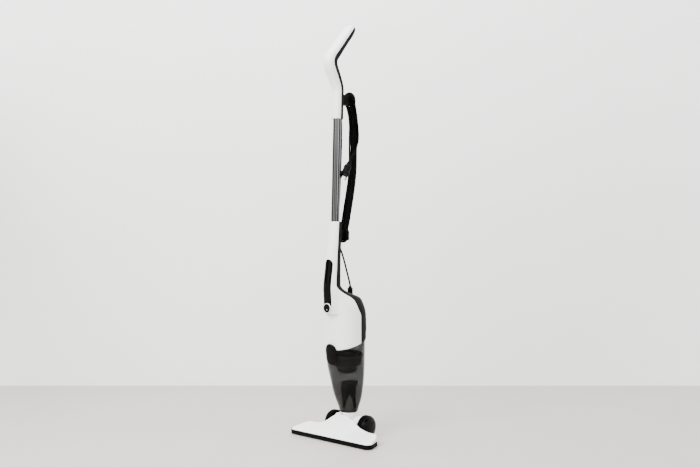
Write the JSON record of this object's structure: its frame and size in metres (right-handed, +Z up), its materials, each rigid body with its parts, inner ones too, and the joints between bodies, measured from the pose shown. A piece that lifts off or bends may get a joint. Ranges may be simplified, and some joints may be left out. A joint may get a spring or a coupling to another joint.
{
  "type": "upright stick vacuum cleaner",
  "caption": "Corded upright stick vacuum with clear dust cup, metal pole, bent grip, cord hooks with wound cable, and a tilting wheeled floor head.",
  "frame": {"origin": "middle of the footprint on the floor, measured without the cord", "axes": "+Z up, -Y towards the front of the floor head, +X to the side"},
  "size_m": [0.28, 0.1306, 1.0993],
  "materials": {
    "white_gloss": "smooth white moulded plastic, satin gloss",
    "dark_grey": "dark grey moulded plastic, soft gloss",
    "black_plastic": "black moulded plastic, matte",
    "black_gloss": "black gloss plastic",
    "smoke_clear": "smoke tinted clear plastic",
    "grey_plastic": "grey moulded plastic",
    "filter_fabric": "pleated filter medium",
    "foam": "open cell foam",
    "rubber": "soft black rubber",
    "tyre_rubber": "ribbed black rubber",
    "pole_metal": "polished steel tube",
    "steel": "turned steel",
    "alloy": "pressed aluminium",
    "copper": "copper windings",
    "cord_pvc": "black flexible mains cable",
    "plug_brass": "plated pins",
    "bristle": "bristle strip",
    "felt": "felt glide",
    "silver_ring": "satin silver trim"
  },
  "bodies": {
    "floor_head": {"head_top_shell": "white_gloss", "head_base_plate": "black_plastic", "bumper_strip": "rubber", "bumper_lip": "rubber", "brush_strips": "bristle", "suction_channel": "black_plastic", "glide_pads": "felt", "pivot_cheeks": "white_gloss", "wheel_axles": "steel"},
    "left_wheel_set": {"left_wheel": "black_plastic", "left_tyre": "tyre_rubber", "left_wheel_cap": "black_plastic"},
    "right_wheel_set": {"right_wheel": "black_plastic", "right_tyre": "tyre_rubber", "right_wheel_cap": "black_plastic"},
    "upright": {"neck_elbow": "white_gloss", "neck_seal": "rubber", "dust_cup": "smoke_clear", "inlet_duct": "black_plastic", "flap_pin": "steel", "filter_frame": "grey_plastic", "filter_cartridge": "filter_fabric", "filter_cap": "black_plastic", "cup_seal": "rubber", "motor_plate": "grey_plastic", "motor_mount_ring": "rubber", "fan_cover": "alloy", "motor_stator": "steel", "motor_end_frame": "alloy", "body_front_shell": "white_gloss", "body_rear_shell": "dark_grey", "vent_grille": "black_plastic", "exhaust_filter": "foam", "control_inlay": "black_gloss", "button_ring": "silver_ring", "switch_block": "black_plastic", "latch_mount": "white_gloss", "pole": "pole_metal", "handle_front_shell": "white_gloss", "handle_rear_shell": "dark_grey", "upper_cord_hook": "black_plastic", "lower_cord_hook": "black_plastic", "hook_screws": "steel", "cord_gland": "rubber", "power_cord": "cord_pvc", "cord_hank": "cord_pvc", "plug_body": "cord_pvc", "plug_pins": "plug_brass"},
    "flap": {"duct_flap": "rubber"},
    "fan": {"fan_wheel": "alloy", "motor_shaft": "steel", "motor_rotor": "copper"},
    "button": {"power_button": "black_gloss"},
    "latch": {"cup_latch": "black_gloss", "latch_pin": "steel"}
  },
  "joints": [
    {"name": "neck_tilt", "type": "hinge", "parent": "floor_head", "child": "upright", "pos_m": [0, 0.03131, 0.031], "axis": [-1, 0, 0], "range_deg": [0, 80]},
    {"name": "left_wheel_spin", "type": "hinge", "parent": "floor_head", "child": "left_wheel_set", "pos_m": [-0.056, 0.03131, 0.031], "axis": [1, 0, 0], "continuous": true},
    {"name": "right_wheel_spin", "type": "hinge", "parent": "floor_head", "child": "right_wheel_set", "pos_m": [0.056, 0.03131, 0.031], "axis": [1, 0, 0], "continuous": true},
    {"name": "flap_swing", "type": "hinge", "parent": "upright", "child": "flap", "pos_m": [0, 0.04671, 0.1443], "axis": [-1, 0, 0], "range_deg": [0, 34]},
    {"name": "fan_spin", "type": "hinge", "parent": "upright", "child": "fan", "pos_m": [0, 0.01131, 0.3], "axis": [0, 0, 1], "continuous": true},
    {"name": "button_press", "type": "slide", "parent": "upright", "child": "button", "axis": [0, 1, 0], "range_m": [0, 0.002], "stiffness_N_per_m": 600, "springref_m": -0.001},
    {"name": "latch_swing", "type": "hinge", "parent": "upright", "child": "latch", "pos_m": [0, -0.04569, 0.241], "axis": [-1, 0, 0], "range_deg": [0, 15], "stiffness_Nm_per_rad": 0.2, "springref_deg": -8.59}
  ]
}
